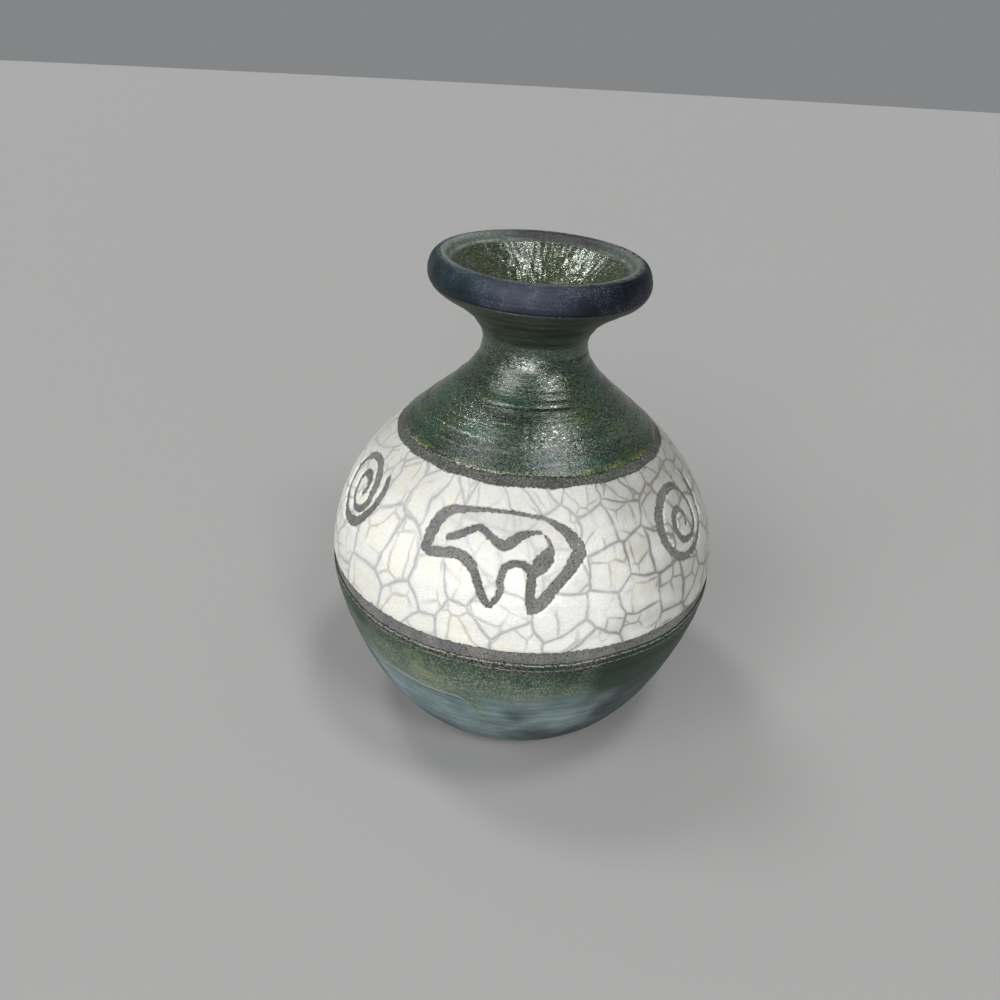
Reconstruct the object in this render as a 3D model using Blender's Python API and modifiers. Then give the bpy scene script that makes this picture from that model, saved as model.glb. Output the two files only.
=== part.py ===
"""Raku vase: a thrown and smoked clay body with separate coats of glaze fused on it.

Metres, +Z up. The origin is the middle of the foot, on the surface that the vase stands on.
The front, with the first bear, looks along -Y. An azimuth is counted from there towards +X.
"""

import math
from bisect import bisect_left

import bmesh
import bpy
from mathutils import Matrix, Vector
from mathutils.geometry import interpolate_bezier

# Outside of the glazed vase
FOOT_RADIUS = 0.0384
FOOT_FLARE_OUT = 0.0109
FOOT_FLARE_UP = 0.0090
BELLY_RADIUS = 0.0583
BELLY_HEIGHT = 0.0473
BELLY_LENGTH_BELOW = 0.0087
BELLY_LENGTH_ABOVE = 0.0409
VASE_HEIGHT = 0.1367
NECK_RADIUS = 0.0146
NECK_BELOW_TOP = 0.0225
NECK_LENGTH_BELOW = 0.0157
NECK_LENGTH_ABOVE = 0.0071
RIM_RADIUS = 0.0297
RIM_WIDEST_BELOW_TOP = 0.0049
RIM_UNDERCUT_DEPTH = 0.0037
RIM_UNDERCUT_IN = 0.0018
RIM_UNDERSIDE_RISE = 0.0012
RIM_ROUNDING = 0.0034

# The rim leans: it is lowest at this azimuth
RIM_LEAN = math.radians(3.1)
RIM_LEAN_AZIMUTH = math.radians(29)
LEAN_BELOW_NECK = 0.0036
LEAN_ABOVE_NECK = 0.0100

# Inside of the glazed vase
WALL = 0.0052
FLOOR_THICKNESS = 0.0085
FLOOR_CORNER = 0.0150
RIM_CREST_IN = 0.0034
RIM_WIDTH = 0.0052
LIP_DROP = 0.0011
LIP_ROUNDING = 0.0033
FUNNEL_STEEPNESS = 0.0060

# Foot
FOOT_BEVEL = 0.0006
FOOT_RING_WIDTH = 0.0075
FOOT_RECESS = 0.0012

# Glaze
COAT = 0.0006
COAT_EDGE = 0.0004
CLEARANCE = 0.0003
BARE_FOOT = 0.0012
WHITE_ABOVE_BELLY = 0.0041
WHITE_LENGTH = 0.0429
LOWER_LINE = 0.0034
UPPER_LINE = 0.0026
BLUE_BELOW_WIDEST = 0.0020

# Motifs left bare in the white coat, by azimuth in degrees
BEARS = {"front": 0.0, "right": 125.0, "left": -121.0}
SPIRALS = {"right": 67.5, "back": 182.0, "left": -59.5}
CUT_DEPTH = 0.0090
CUT_PROUD = 0.0040

# Fineness of the faceted solids
SIDES = 48
CURVE_STEP = 0.0015
OUTSIDE_ERROR = 0.0002
HOLLOW_ERROR = 0.0006
MERGE_TURNED = 0.00001
MERGE_CUTTER = 0.000001

NECK_HEIGHT = VASE_HEIGHT - NECK_BELOW_TOP
RIM_WIDEST_HEIGHT = VASE_HEIGHT - RIM_WIDEST_BELOW_TOP

# The motifs are drawn in units of which the white coat is this high, and sit this far over its middle
WHITE_UNITS = 42.9
BEAR_UNITS_UP = 2.9
SPIRAL_UNITS_UP = 3.7

# Bear walking left: the middle of its brushed outline as right, up and stroke width
BEAR_OUTLINE = (
    (-19.8, -0.9, 1.8), (-19.3, 2.0, 2.6), (-18.6, 5.9, 2.7), (-17.0, 8.4, 2.4), (-14.4, 9.9, 1.7),
    (-8.5, 11.1, 1.2), (-2.4, 11.7, 0.8), (3.3, 11.6, 0.8), (9.0, 11.0, 0.8), (12.6, 10.1, 0.9),
    (15.3, 8.5, 1.7), (18.0, 6.5, 2.1), (20.1, 3.6, 2.7), (20.0, 0.8, 2.9), (17.6, -2.2, 2.4),
    (13.9, -6.3, 2.1), (10.4, -10.9, 2.2), (8.6, -12.1, 2.0), (8.0, -8.6, 1.8), (8.2, -4.4, 1.8),
    (7.4, -1.9, 1.6), (4.6, -0.9, 1.5), (1.9, -2.0, 1.5), (0.9, -5.0, 1.4), (1.0, -8.6, 1.3),
    (-0.9, -11.6, 1.8), (-2.8, -10.2, 1.5), (-4.2, -7.4, 1.6), (-5.4, -4.6, 1.8), (-7.5, -2.0, 2.4),
    (-11.3, -0.8, 2.3), (-15.5, -1.7, 2.1), (-18.6, -2.4, 1.7),
)

# Line from the bear's mouth towards its heart, the same way, ending in the hind leg
HEART_LINE = (
    (-14.0, 2.7, 1.5), (-11.9, 3.7, 1.6), (-9.3, 5.3, 1.6), (-6.7, 6.8, 1.5), (-4.8, 6.2, 1.5),
    (-2.4, 4.7, 1.5), (0.1, 3.4, 2.0), (2.0, 3.6, 2.4), (4.4, 5.6, 2.0), (7.0, 6.7, 1.3),
    (10.2, 7.0, 0.8), (12.0, 5.6, 0.8), (12.9, 3.3, 1.2), (12.0, 1.2, 2.6), (10.3, -1.0, 3.2),
    (8.4, -3.0, 1.8),
)

# Spirals that wind in clockwise from a tail at the upper right, the same way
WIDE_SPIRAL = (
    (12.6, 8.5, 1.6), (12.2, 5.0, 3.2), (11.2, 1.2, 2.2), (8.9, -3.8, 1.6), (5.0, -7.0, 1.6),
    (-0.2, -9.3, 1.7), (-6.4, -9.1, 1.8), (-11.0, -5.6, 2.0), (-12.6, -0.4, 2.8), (-11.4, 4.4, 3.1),
    (-6.5, 8.4, 2.5), (0.7, 9.1, 1.8), (4.5, 6.0, 1.6), (5.3, 0.8, 1.5), (3.7, -3.7, 1.5),
    (-0.2, -5.8, 1.4), (-4.6, -5.0, 1.6), (-6.5, -1.4, 2.0), (-5.2, 2.1, 2.0), (-1.7, 2.9, 1.7),
    (0.0, 0.4, 1.4), (-0.8, -1.8, 1.1),
)
TIGHT_SPIRAL = (
    (9.7, 7.8, 1.8), (11.0, 5.0, 2.2), (11.0, 1.0, 2.2), (9.2, -3.6, 2.2), (5.8, -7.8, 2.4),
    (1.3, -9.2, 2.6), (-3.8, -8.0, 2.6), (-8.6, -4.4, 2.8), (-11.0, 0.2, 3.0), (-10.2, 5.2, 2.6),
    (-6.1, 8.5, 2.0), (-0.2, 9.1, 2.2), (4.3, 6.6, 3.0), (6.6, 2.6, 3.0), (6.8, -1.8, 2.4),
    (4.6, -4.4, 1.8), (1.0, -5.0, 1.8), (-2.4, -2.6, 1.9), (-4.0, 1.3, 1.9), (-2.7, 4.0, 2.0),
    (1.0, 4.1, 2.2), (2.9, 1.8, 1.8), (2.2, -0.3, 1.5),
)
SPIRAL_SHAPES = {"right": WIDE_SPIRAL, "back": TIGHT_SPIRAL, "left": TIGHT_SPIRAL}


def clear_scene():
    for item in list(bpy.data.objects):
        bpy.data.objects.remove(item)


def out(distance):
    return Vector((distance, 0))


def up(distance):
    return Vector((0, distance))


def curve(start, leave, arrive, end):
    """Points of one Bezier stretch, without its last point. Its handles are steps from the two ends."""
    steps = math.ceil((end - start).length / CURVE_STEP) + 1
    return interpolate_bezier(start, start + leave, end + arrive, end, steps + 1)[:-1]


def make_skin():
    """Whole glazed surface as (radius, height) points, in three lines: outside, funnel of the mouth, hollow."""
    foot = out(FOOT_RADIUS)
    belly = out(BELLY_RADIUS) + up(BELLY_HEIGHT)
    neck = out(NECK_RADIUS) + up(NECK_HEIGHT)
    widest = out(RIM_RADIUS) + up(RIM_WIDEST_HEIGHT)
    undercut = widest - out(RIM_UNDERCUT_IN) - up(RIM_UNDERCUT_DEPTH)
    crest = out(RIM_RADIUS - RIM_CREST_IN) + up(VASE_HEIGHT)
    lip = out(RIM_RADIUS - RIM_WIDTH) + up(VASE_HEIGHT - LIP_DROP)
    throat = out(NECK_RADIUS - WALL) + up(NECK_HEIGHT)
    widest_inside = out(BELLY_RADIUS - WALL) + up(BELLY_HEIGHT)
    floor_edge = out(FOOT_RADIUS - WALL - FLOOR_CORNER) + up(FLOOR_THICKNESS)
    outside = (
        curve(foot, out(FOOT_FLARE_OUT) + up(FOOT_FLARE_UP), up(-BELLY_LENGTH_BELOW), belly)
        + curve(belly, up(BELLY_LENGTH_ABOVE), up(-NECK_LENGTH_BELOW), neck)
        + curve(neck, up(NECK_LENGTH_ABOVE), out(-RIM_UNDERCUT_IN) + up(-RIM_UNDERSIDE_RISE), undercut)
        + curve(undercut, (out(RIM_UNDERCUT_IN) + up(RIM_UNDERCUT_IN)) / 2, up(-RIM_UNDERCUT_IN), widest)
        + curve(widest, up(RIM_ROUNDING), out(RIM_ROUNDING / 2), crest)
    )
    funnel = (
        curve(crest, out(-LIP_DROP), up(LIP_DROP / 2), lip)
        + curve(lip, out(-LIP_DROP) + up(-LIP_ROUNDING), up(NECK_LENGTH_ABOVE + FUNNEL_STEEPNESS), throat)
    )
    hollow = (
        curve(throat, up(-NECK_LENGTH_BELOW), up(BELLY_LENGTH_ABOVE), widest_inside)
        + curve(widest_inside, up(-BELLY_LENGTH_BELOW - FLOOR_CORNER), out(FLOOR_CORNER), floor_edge)
        + [floor_edge, up(FLOOR_THICKNESS)]
    )
    return outside, funnel, hollow


class Skin:
    """The glazed surface's line, read by the length along it. The air lies on its right-hand side."""

    def __init__(self, outside, funnel, hollow):
        self.points = outside + funnel + hollow
        self.lengths = [0.0]
        for before, after in zip(self.points, self.points[1:]):
            self.lengths.append(self.lengths[-1] + (after - before).length)
        self.crest = self.lengths[len(outside)]
        self.throat = self.lengths[len(outside) + len(funnel)]
        self.end = self.lengths[-1]

    def at_height(self, height):
        """Length along the outside where it reaches a height."""
        for index, (before, after) in enumerate(zip(self.points, self.points[1:])):
            if before.y <= height < after.y:
                share = (height - before.y) / (after.y - before.y)
                return self.lengths[index] + share * (after - before).length
        raise ValueError("the outside never reaches that height")

    def tangent(self, length):
        """Unit direction of the line, from a coat's thickness on both sides of a point."""
        if length + COAT > self.end:
            return out(-1)
        return (self.point(length + COAT) - self.point(max(length - COAT, 0))).normalized()

    def point(self, length, depth=0.0):
        """Point at a length along the line, sunk into the wall by a depth."""
        index = max(1, min(bisect_left(self.lengths, length), len(self.points) - 1))
        before, after = self.points[index - 1], self.points[index]
        span = self.lengths[index] - self.lengths[index - 1]
        spot = before.lerp(after, (length - self.lengths[index - 1]) / span)
        if not depth:
            return spot
        along = self.tangent(length)
        sunk = spot - depth * Vector((along.y, -along.x))
        return Vector((max(sunk.x, 0), sunk.y))


def stations(skin, marks):
    """Lengths from the first mark to the last, with each mark, at steps whose chords miss the curve evenly."""
    effort = [0.0]
    chords = [after - before for before, after in zip(skin.points, skin.points[1:])]
    for index, along in enumerate(chords):
        bend = along.angle(chords[index - 1]) if index else 0
        error = OUTSIDE_ERROR if skin.lengths[index] < skin.throat else HOLLOW_ERROR
        effort.append(effort[-1] + math.sqrt(bend * along.length / (8 * error)))

    def read(wanted, keys, values):
        index = max(1, min(bisect_left(keys, wanted), len(keys) - 1))
        share = (wanted - keys[index - 1]) / (keys[index] - keys[index - 1])
        return values[index - 1] + share * (values[index] - values[index - 1])

    found = []
    for low, high in zip(marks, marks[1:]):
        start, finish = (read(mark, skin.lengths, effort) for mark in (low, high))
        count = max(1, math.ceil(finish - start))
        inner = [read(start + (finish - start) * index / count, effort, skin.lengths) for index in range(1, count)]
        found += [low] + inner
    return found + [marks[-1]]


def material(name, colour, roughness, metallic=0.0):
    made = bpy.data.materials.new(name)
    made.use_nodes = True
    shader = made.node_tree.nodes["Principled BSDF"]
    shader.inputs["Base Color"].default_value = (*colour, 1)
    shader.inputs["Roughness"].default_value = roughness
    shader.inputs["Metallic"].default_value = metallic
    return made


def turned(name, profile, finish, collection, closed=True):
    """Solid of revolution about Z from a profile that runs down its outer side."""
    mesh = bpy.data.meshes.new(name)
    count = len(profile)
    edges = [(index, (index + 1) % count) for index in range(count if closed else count - 1)]
    mesh.from_pydata([(spot.x, 0, spot.y) for spot in profile], edges, [])
    mesh.materials.append(finish)
    made = bpy.data.objects.new(name, mesh)
    collection.objects.link(made)
    screw = made.modifiers.new("turn", "SCREW")
    screw.axis = "Z"
    screw.angle = 2 * math.pi
    screw.steps = SIDES
    screw.render_steps = SIDES
    screw.use_merge_vertices = True
    screw.merge_threshold = MERGE_TURNED
    screw.use_smooth_shade = True
    return made


def make_lean(collection):
    """Lattice that tips everything above the neck, by moving its top corners up or down."""
    height = LEAN_BELOW_NECK + LEAN_ABOVE_NECK
    width = 4 * RIM_RADIUS
    data = bpy.data.lattices.new("rim_lean")
    data.points_u = data.points_v = data.points_w = 2
    data.interpolation_type_u = data.interpolation_type_v = data.interpolation_type_w = "KEY_LINEAR"
    cage = bpy.data.objects.new("rim_lean", data)
    cage.location = (0, 0, NECK_HEIGHT + (LEAN_ABOVE_NECK - LEAN_BELOW_NECK) / 2)
    cage.scale = (width, width, height)
    cage.hide_render = True
    collection.objects.link(cage)
    slope = math.tan(RIM_LEAN)
    for point in data.points:
        if point.co.z > 0:
            towards = math.sin(RIM_LEAN_AZIMUTH) * point.co.x - math.cos(RIM_LEAN_AZIMUTH) * point.co.y
            point.co_deform.z = point.co.z - slope * towards * width / height
    return cage


def leaning(item, cage):
    change = item.modifiers.new("rim_lean", "LATTICE")
    change.object = cage


def coat(name, skin, lengths, finish, collection):
    """Coat of glaze between two lengths along the skin, with its open edges rounded off."""
    low, high = lengths[0], lengths[-1]
    reaches_axis = high == skin.end
    last = high if reaches_axis else high - COAT_EDGE
    air = [low + COAT_EDGE] + lengths[1:-1] + [last]
    front = [skin.point(length) for length in reversed(air)]
    back = [skin.point(length, COAT) for length in lengths]
    return turned(name, front + back, finish, collection, closed=not reaches_axis)


def clay_profile(skin, lengths):
    """Clay under all the coats, from the middle of the inside floor round to the middle of the base."""
    depth = COAT + CLEARANCE
    wall = [skin.point(length, depth) for length in reversed(lengths)]
    foot_edge = wall[-1].x
    ring_inside = foot_edge - FOOT_RING_WIDTH
    base = [
        out(foot_edge) + up(FOOT_BEVEL),
        out(foot_edge - FOOT_BEVEL),
        out(ring_inside),
        out(ring_inside - FOOT_RECESS) + up(FOOT_RECESS),
        up(FOOT_RECESS),
    ]
    return wall + base


def side(points, unit, share, closed):
    """Brush line shifted to its left by a share of its stroke width, as (right, up) points in metres."""
    line = [unit * Vector(point) for point in points]
    count = len(line)
    shifted = []
    for index, spot in enumerate(line):
        before = line[index - 1] if closed or index else spot
        after = line[(index + 1) % count] if closed or index < count - 1 else spot
        along = (after - before).xy.normalized()
        shifted.append(spot.xy + share * spot.z * Vector((-along.y, along.x)))
    return shifted


def stroke(points, unit):
    """Closed outline of one open brush stroke."""
    return side(points, unit, 0.5, False) + side(points, unit, -0.5, False)[::-1]


def wall_frame(skin, azimuth, length):
    """Matrix of a motif's middle: X along the growing azimuth, Y up the wall, Z straight out of it."""
    spot, along = skin.point(length), skin.tangent(length)
    away = Vector((math.sin(azimuth), -math.cos(azimuth), 0))
    right = Vector((math.cos(azimuth), math.sin(azimuth), 0))
    climb = along.x * away + along.y * Vector((0, 0, 1))
    frame = Matrix((right, climb, right.cross(climb))).transposed().to_4x4()
    frame.translation = spot.x * away + spot.y * Vector((0, 0, 1))
    return frame


def flattened(skin, azimuth, length, outline):
    """Outline drawn on the curved wall, seen square on, in its motif's frame."""
    radius = skin.point(length).x
    inverse = wall_frame(skin, azimuth, length).inverted()
    seen = []
    for right, rise in outline:
        spot = skin.point(length + rise)
        turn = azimuth + right / radius
        seen.append((inverse @ Vector((spot.x * math.sin(turn), -spot.x * math.cos(turn), spot.y))).xy)
    return seen


def cutter(name, skin, azimuth, length, outline, collection):
    """Prism through the white coat whose outline is drawn on the wall."""
    drawn = bpy.data.curves.new(name, "CURVE")
    drawn.dimensions = "2D"
    drawn.fill_mode = "BOTH"
    drawn.extrude = (CUT_DEPTH + CUT_PROUD) / 2
    flat = flattened(skin, azimuth, length, outline)
    spline = drawn.splines.new("POLY")
    spline.points.add(len(flat) - 1)
    for point, spot in zip(spline.points, flat):
        point.co = (spot.x, spot.y, 0, 1)
    spline.use_cyclic_u = True
    guide = bpy.data.objects.new(name, drawn)
    middle = Matrix.Translation((0, 0, (CUT_PROUD - CUT_DEPTH) / 2))
    guide.matrix_world = wall_frame(skin, azimuth, length) @ middle
    collection.objects.link(guide)
    graph = bpy.context.evaluated_depsgraph_get()
    mesh = bpy.data.meshes.new_from_object(guide.evaluated_get(graph))
    shape = bmesh.new()
    shape.from_mesh(mesh)
    bmesh.ops.remove_doubles(shape, verts=shape.verts, dist=MERGE_CUTTER)
    bmesh.ops.recalc_face_normals(shape, faces=shape.faces)
    shape.to_mesh(mesh)
    shape.free()
    made = bpy.data.objects.new(name, mesh)
    made.matrix_world = guide.matrix_world
    bpy.data.objects.remove(guide)
    made.name = name
    made.hide_render = True
    made.display_type = "WIRE"
    collection.objects.link(made)
    return made


def boolean(item, operation, other):
    change = item.modifiers.new(operation.lower() + "_" + other.name, "BOOLEAN")
    change.operation = operation
    change.solver = "EXACT"
    change.object = other


def main():
    clear_scene()
    vase = bpy.data.collections.new("raku_vase")
    cutters = bpy.data.collections.new("cutters")
    bpy.context.scene.collection.children.link(vase)
    bpy.context.scene.collection.children.link(cutters)

    clay = material("smoked_clay", (0.075, 0.072, 0.070), 0.85)
    green = material("green_lustre", (0.060, 0.105, 0.080), 0.30, 0.6)
    olive = material("olive_lustre", (0.105, 0.125, 0.070), 0.32, 0.6)
    blue = material("blue_lustre", (0.050, 0.058, 0.095), 0.45, 0.4)
    teal = material("teal_lustre", (0.070, 0.110, 0.105), 0.40, 0.5)
    white = material("white_crackle", (0.74, 0.73, 0.68), 0.25)

    skin = Skin(*make_skin())
    white_low = skin.at_height(BELLY_HEIGHT + WHITE_ABOVE_BELLY)
    white_high = white_low + WHITE_LENGTH
    foot = skin.at_height(BARE_FOOT)
    blue_low = skin.at_height(RIM_WIDEST_HEIGHT - BLUE_BELOW_WIDEST)
    lower_high = white_low - LOWER_LINE
    neck_low = white_high + UPPER_LINE
    neck_high = blue_low - CLEARANCE
    lining_low = skin.crest + CLEARANCE
    marks = [foot, lower_high, white_low, white_high, neck_low, neck_high, blue_low,
             skin.crest, lining_low, skin.end]
    lengths = stations(skin, marks)

    def part_of(low, high):
        return [length for length in lengths if low <= length <= high]

    coat("lower_glaze", skin, part_of(foot, lower_high), teal, vase)
    lean = make_lean(cutters)
    leaning(turned("clay_body", clay_profile(skin, lengths), clay, vase, closed=False), lean)
    leaning(coat("neck_glaze", skin, part_of(neck_low, neck_high), green, vase), lean)
    leaning(coat("rim_glaze", skin, part_of(blue_low, skin.crest), blue, vase), lean)
    leaning(coat("lining_glaze", skin, part_of(lining_low, skin.end), olive, vase), lean)
    white_part = part_of(white_low, white_high)
    band = coat("crackle_glaze", skin, white_part, white, vase)

    white_middle = white_low + WHITE_LENGTH / 2
    unit = WHITE_LENGTH / WHITE_UNITS
    bear_outside = side(BEAR_OUTLINE, unit, 0.5, True)
    bear_inside = side(BEAR_OUTLINE, unit, -0.5, True)
    heart = stroke(HEART_LINE, unit)
    for place, degrees in BEARS.items():
        spot = (skin, math.radians(degrees), white_middle + BEAR_UNITS_UP * unit)
        boolean(band, "DIFFERENCE", cutter("bear_around_" + place, *spot, bear_outside, cutters))
        panel = coat("bear_glaze_" + place, skin, white_part, white, vase)
        boolean(panel, "INTERSECT", cutter("bear_within_" + place, *spot, bear_inside, cutters))
        boolean(panel, "DIFFERENCE", cutter("heart_line_" + place, *spot, heart, cutters))
    for place, degrees in SPIRALS.items():
        spiral = stroke(SPIRAL_SHAPES[place], unit)
        spot = (skin, math.radians(degrees), white_middle + SPIRAL_UNITS_UP * unit)
        boolean(band, "DIFFERENCE", cutter("spiral_" + place, *spot, spiral, cutters))


main()
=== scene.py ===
import bpy
import numpy as np
from mathutils import Matrix


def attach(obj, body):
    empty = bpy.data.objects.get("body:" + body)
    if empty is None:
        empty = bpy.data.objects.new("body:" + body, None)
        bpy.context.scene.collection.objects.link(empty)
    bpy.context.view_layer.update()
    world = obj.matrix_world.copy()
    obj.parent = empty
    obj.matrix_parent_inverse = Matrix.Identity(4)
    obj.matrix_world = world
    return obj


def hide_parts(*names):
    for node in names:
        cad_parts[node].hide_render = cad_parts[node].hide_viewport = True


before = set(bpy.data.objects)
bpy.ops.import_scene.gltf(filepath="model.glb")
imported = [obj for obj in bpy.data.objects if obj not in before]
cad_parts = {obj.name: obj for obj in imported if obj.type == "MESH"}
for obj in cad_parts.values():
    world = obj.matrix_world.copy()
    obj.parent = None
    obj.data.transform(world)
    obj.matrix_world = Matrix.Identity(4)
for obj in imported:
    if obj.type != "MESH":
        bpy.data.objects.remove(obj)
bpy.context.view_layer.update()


# Clay body. One piece of raku clay thrown on a wheel: a trimmed foot, a round belly, a narrow neck and
# a flared rim that sank a little to one side. The smoke of the firing turned it matt grey, and it
# shows wherever the glazes leave a line bare, round the foot and underneath.
FOOT_RADIUS = 0.0384
FOOT_FLARE = (0.0109, 0.0090)
BELLY_RADIUS = 0.0583
BELLY_HEIGHT = 0.0473
BELLY_LENGTH_BELOW = 0.0087
BELLY_LENGTH_ABOVE = 0.0409
VASE_HEIGHT = 0.1367
NECK_RADIUS = 0.0146
NECK_HEIGHT = VASE_HEIGHT - 0.0225
NECK_LENGTH_BELOW = 0.0157
NECK_LENGTH_ABOVE = 0.0071
RIM_RADIUS = 0.0297
RIM_WIDEST_HEIGHT = VASE_HEIGHT - 0.0049
RIM_UNDERCUT = (0.0018, 0.0037)
RIM_UNDERSIDE_RISE = 0.0012
RIM_ROUNDING = 0.0034
RIM_CREST_IN = 0.0034
RIM_WIDTH = 0.0052
LIP_DROP = 0.0011
LIP_ROUNDING = 0.0033
FUNNEL_STEEPNESS = 0.0060
RIM_LEAN = np.radians(3.1)
RIM_LEAN_TURN = np.radians(29)
LEAN_LOW = NECK_HEIGHT - 0.0036
LEAN_HIGH = NECK_HEIGHT + 0.0100
WALL = 0.0052
FLOOR_THICKNESS = 0.0085
FLOOR_CORNER = 0.0150
CLAY_SUNK = 0.00045
FOOT_BEVEL = 0.0006
FOOT_RING_WIDTH = 0.0075
FOOT_RECESS = 0.0012
CLAY_GREYS = (0.122, 0.123, 0.121), (0.176, 0.174, 0.170)
CLAY_FUMES = (0.46, 0.485, 0.45)
CLAY_OLIVE = (0.120, 0.130, 0.070)
MM = 0.001
FULL_TURN = 2 * np.pi
SMALL_CURVE = 80
CURVE = 200
LONG_CURVE = 400


def stretch(start, leave, arrive, end, count=CURVE):
    """Bezier from start to end, whose handles are steps from its two ends, without its last point."""
    share = np.linspace(0, 1, count, endpoint=False)[:, None]
    ends = [np.array(point) for point in (start, end)]
    handles = [ends[0] + leave, ends[1] + arrive]
    return (
        (1 - share) ** 3 * ends[0]
        + 3 * (1 - share) ** 2 * share * handles[0]
        + 3 * (1 - share) * share**2 * handles[1]
        + share**3 * ends[1]
    )


def wall_line():
    """The glazed wall as (radius, height): Beziers up the outside, over the rim and down to the floor."""
    belly, neck = (BELLY_RADIUS, BELLY_HEIGHT), (NECK_RADIUS, NECK_HEIGHT)
    widest = (RIM_RADIUS, RIM_WIDEST_HEIGHT)
    undercut = (widest[0] - RIM_UNDERCUT[0], widest[1] - RIM_UNDERCUT[1])
    crest = (RIM_RADIUS - RIM_CREST_IN, VASE_HEIGHT)
    lip = (RIM_RADIUS - RIM_WIDTH, VASE_HEIGHT - LIP_DROP)
    throat, hollow = (NECK_RADIUS - WALL, NECK_HEIGHT), (BELLY_RADIUS - WALL, BELLY_HEIGHT)
    corner = (FOOT_RADIUS - WALL - FLOOR_CORNER, FLOOR_THICKNESS)
    over, half = RIM_UNDERCUT[0], 0.5
    return np.concatenate([
        stretch((FOOT_RADIUS, 0), FOOT_FLARE, (0, -BELLY_LENGTH_BELOW), belly),
        stretch(belly, (0, BELLY_LENGTH_ABOVE), (0, -NECK_LENGTH_BELOW), neck, LONG_CURVE),
        stretch(neck, (0, NECK_LENGTH_ABOVE), (-over, -RIM_UNDERSIDE_RISE), undercut),
        stretch(undercut, (half * over, half * over), (0, -over), widest, SMALL_CURVE),
        stretch(widest, (0, RIM_ROUNDING), (half * RIM_ROUNDING, 0), crest),
        stretch(crest, (-LIP_DROP, 0), (0, half * LIP_DROP), lip, SMALL_CURVE),
        stretch(lip, (-LIP_DROP, -LIP_ROUNDING), (0, NECK_LENGTH_ABOVE + FUNNEL_STEEPNESS), throat),
        stretch(throat, (0, -NECK_LENGTH_BELOW), (0, BELLY_LENGTH_ABOVE), hollow, LONG_CURVE),
        stretch(hollow, (0, -BELLY_LENGTH_BELOW - FLOOR_CORNER), (FLOOR_CORNER, 0), corner),
        [corner, (0, FLOOR_THICKNESS)],
    ])


WALL_LINE = wall_line()
WALL_LENGTHS = np.concatenate([[0], np.cumsum(np.hypot(*np.diff(WALL_LINE, axis=0).T))])
WALL_END = WALL_LENGTHS[-1]
CREST_LENGTH = WALL_LENGTHS[np.argmax(WALL_LINE[:, 1])]
WALL_ALONG = np.gradient(WALL_LINE, WALL_LENGTHS, axis=0)
WALL_ALONG /= np.hypot(*WALL_ALONG.T)[:, None]
WALL_OUT = np.stack([WALL_ALONG[:, 1], -WALL_ALONG[:, 0]], axis=1)


def length_at(height):
    """Length along the outside of the wall where it reaches a height."""
    outside = WALL_LENGTHS <= CREST_LENGTH
    return np.interp(height, WALL_LINE[outside, 1], WALL_LENGTHS[outside])


def along_wall(values, length):
    """Values given at the points of the wall's line, read between them at a length."""
    return np.interp(length, WALL_LENGTHS, values)


def tipped(points):
    """Points with the rim's lean: height falls by the lean's slope times the way towards its low side."""
    share = np.clip((points[..., 2] - LEAN_LOW) / (LEAN_HIGH - LEAN_LOW), 0, 1)
    towards = np.sin(RIM_LEAN_TURN) * points[..., 0] - np.cos(RIM_LEAN_TURN) * points[..., 1]
    leaning = points.copy()
    leaning[..., 2] -= share * np.tan(RIM_LEAN) * towards
    return leaning


def spun(radius, height, turn):
    """Points at a radius and a height, spun about the axis by a turn from the front towards the right."""
    radius, height, turn = np.broadcast_arrays(radius, height, turn)
    return np.stack([radius * np.sin(turn), -radius * np.cos(turn), height], axis=-1)


def on_wall(length, turn, lift):
    """Points at a length up the wall's line, lifted along its normal, spun by a turn, then tipped."""
    radius = along_wall(WALL_LINE[:, 0], length) + lift * along_wall(WALL_OUT[:, 0], length)
    height = along_wall(WALL_LINE[:, 1], length) + lift * along_wall(WALL_OUT[:, 1], length)
    return tipped(spun(np.maximum(radius, 0), height, turn))


def waves(length, turn, size, count, seed):
    """Random swell: a sum of sines of about that size and any heading, whole times round the vase."""
    draw = np.random.default_rng(seed)
    total = np.zeros(np.broadcast(length, turn).shape)
    for _ in range(count):
        pitch = size * draw.uniform(0.7, 1.8)
        heading, phase = draw.uniform(0, FULL_TURN, 2)
        round_vase = np.round(FULL_TURN * BELLY_RADIUS / pitch * np.cos(heading))
        total += np.sin(round_vase * turn + FULL_TURN / pitch * np.sin(heading) * length + phase)
    return total * np.sqrt(2 / count)


SHOULDER_LENGTH = 0.102
BROAD_RING = 6.3 * MM
FINE_RING = 3.9 * MM
FIRST_GROOVE = 4 * MM
GROOVE_PITCH = 1.9 * MM
GROOVE_WIDTH = 0.3 * MM
GROOVE_BOW = 0.35 * MM


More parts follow.
